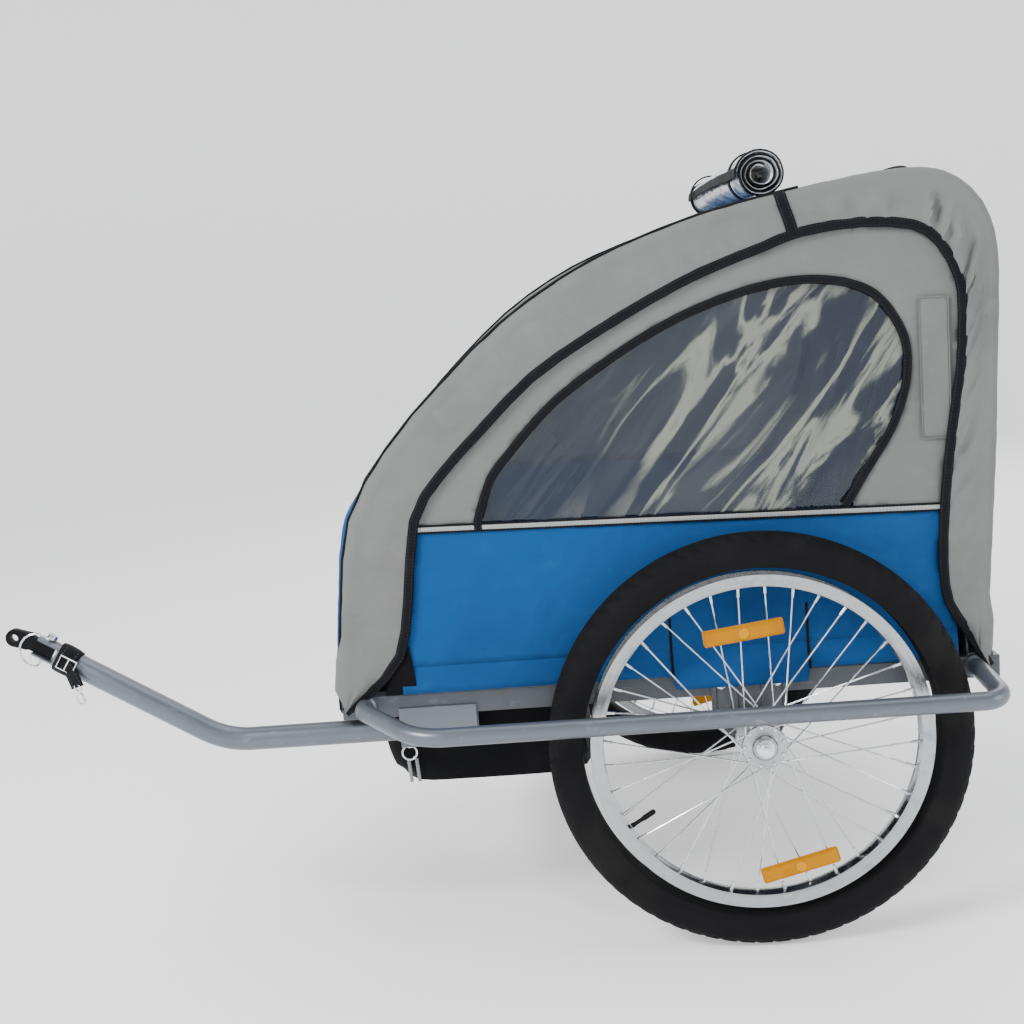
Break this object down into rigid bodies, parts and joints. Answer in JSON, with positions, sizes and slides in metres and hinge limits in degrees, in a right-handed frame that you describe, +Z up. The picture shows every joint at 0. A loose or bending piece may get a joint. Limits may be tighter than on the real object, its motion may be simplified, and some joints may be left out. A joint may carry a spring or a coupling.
{
  "type": "child bicycle trailer",
  "caption": "Child bicycle trailer: folding fabric cabin with clear side windows on a tube chassis, spoked wheels with guards, and a side tow arm with a swivel hitch.",
  "frame": {"origin": "on the ground, under the middle of the trailer's overall box", "axes": "+X towards the rear of the trailer, +Y towards its right side, +Z up; it is towed towards -X"},
  "size_m": [1.2236, 0.8816, 0.9496],
  "materials": {
    "painted_silver": "satin silver enamel on round steel tube",
    "rail_grey": "grey powder coat",
    "chrome": "bright zinc or chrome plate",
    "alloy": "polished alloy",
    "tyre": "black with a shallow diagonal tread",
    "black_rubber": "matt black rubber",
    "amber_reflector": "clear amber lens over a prism grid",
    "grey_fabric": "coated plain-weave nylon, warm light grey",
    "blue_fabric": "coated plain-weave nylon, mid blue",
    "black_fabric": "black nylon webbing and mesh",
    "clear_film": "clear flexible vinyl film, slightly wrinkled"
  },
  "bodies": {
    "chassis": {"left_side_rail": "rail_grey", "right_side_rail": "rail_grey", "front_cross_tube": "rail_grey", "rear_cross_tube": "rail_grey", "axle_beam": "rail_grey", "tow_receiver": "painted_silver", "floor_panel": "black_fabric", "footwell": "black_fabric", "seat_cushion": "blue_fabric", "seat_back": "blue_fabric", "front_panel": "blue_fabric", "roof_panel": "blue_fabric", "back_panel": "blue_fabric", "rolled_cover": "clear_film", "left_axle_bracket": "rail_grey", "left_axle": "chrome", "left_wheel_guard": "painted_silver", "left_front_hinge": "rail_grey", "left_rear_hinge": "rail_grey", "left_harness": "black_fabric", "right_axle_bracket": "rail_grey", "right_axle": "chrome", "right_wheel_guard": "painted_silver", "right_front_hinge": "rail_grey", "right_rear_hinge": "rail_grey", "right_harness": "black_fabric"},
    "left_wheel": {"left_tyre": "tyre", "left_rim": "alloy", "left_hub": "alloy", "left_inner_bearing": "chrome", "left_outer_bearing": "chrome", "left_upper_reflector": "amber_reflector", "left_lower_reflector": "amber_reflector", "left_valve": "black_rubber"},
    "right_wheel": {"right_tyre": "tyre", "right_rim": "alloy", "right_hub": "alloy", "right_inner_bearing": "chrome", "right_outer_bearing": "chrome", "right_upper_reflector": "amber_reflector", "right_lower_reflector": "amber_reflector", "right_valve": "black_rubber"},
    "left_side": {"left_hoop": "painted_silver", "left_side_band": "grey_fabric", "left_upper_panel": "grey_fabric", "left_window": "clear_film", "left_lower_panel": "blue_fabric"},
    "right_side": {"right_hoop": "painted_silver", "right_side_band": "grey_fabric", "right_upper_panel": "grey_fabric", "right_window": "clear_film", "right_lower_panel": "blue_fabric"},
    "left_roof_bar": {"left_roof_bar": "painted_silver"},
    "right_roof_bar": {"right_roof_bar": "painted_silver"},
    "tow_arm": {"tow_arm": "painted_silver", "safety_strap": "black_fabric"},
    "hitch": {"hitch_tongue": "black_rubber", "hitch_pin": "chrome"},
    "hitch_bail": {"hitch_bail": "chrome"},
    "lock_pin": {"lock_pin": "chrome"}
  },
  "joints": [
    {"name": "left_wheel_spin", "type": "hinge", "parent": "chassis", "child": "left_wheel", "pos_m": [0.3, -0.37, 0.254], "axis": [0, 1, 0], "continuous": true},
    {"name": "left_hoop_fold", "type": "hinge", "parent": "chassis", "child": "left_side", "pos_m": [0.3, -0.3125, 0.36], "axis": [-1, 0, 0], "range_deg": [0, 90], "deforming": ["front_panel", "roof_panel", "back_panel", "rolled_cover", "seat_cushion", "seat_back", "left_harness", "right_harness"]},
    {"name": "left_roof_bar_fold", "type": "hinge", "parent": "left_side", "child": "left_roof_bar", "pos_m": [0.5, -0.3065, 0.875], "axis": [-1, 0, 0], "range_deg": [0, 90]},
    {"name": "right_wheel_spin", "type": "hinge", "parent": "chassis", "child": "right_wheel", "pos_m": [0.3, 0.37, 0.254], "axis": [0, 1, 0], "continuous": true},
    {"name": "right_hoop_fold", "type": "hinge", "parent": "chassis", "child": "right_side", "pos_m": [0.3, 0.3125, 0.41], "axis": [1, 0, 0], "range_deg": [0, 90], "deforming": ["front_panel", "roof_panel", "back_panel", "rolled_cover", "seat_cushion", "seat_back", "left_harness", "right_harness"]},
    {"name": "right_roof_bar_fold", "type": "hinge", "parent": "right_side", "child": "right_roof_bar", "pos_m": [0.5, 0.3065, 0.875], "axis": [1, 0, 0], "range_deg": [0, 90]},
    {"name": "tow_arm_slide", "type": "slide", "parent": "chassis", "child": "tow_arm", "axis": [-1, 0, 0], "range_m": [0, 0.12]},
    {"name": "hitch_yaw", "type": "hinge", "parent": "tow_arm", "child": "hitch", "pos_m": [-0.563, -0.305, 0.41], "axis": [0.526, 0, 0.8505], "range_deg": [-60, 60]},
    {"name": "bail_swing", "type": "hinge", "parent": "hitch", "child": "hitch_bail", "pos_m": [-0.55353, -0.305, 0.42531], "axis": [0, 1, 0], "range_deg": [0, 110]},
    {"name": "lock_pin_pull", "type": "slide", "parent": "tow_arm", "child": "lock_pin", "axis": [0, 0, -1], "range_m": [0, 0.045]}
  ],
  "couplings": [
    {"joint": "left_roof_bar_fold", "follows": "left_hoop_fold", "ratio": 1},
    {"joint": "right_roof_bar_fold", "follows": "right_hoop_fold", "ratio": 1}
  ]
}
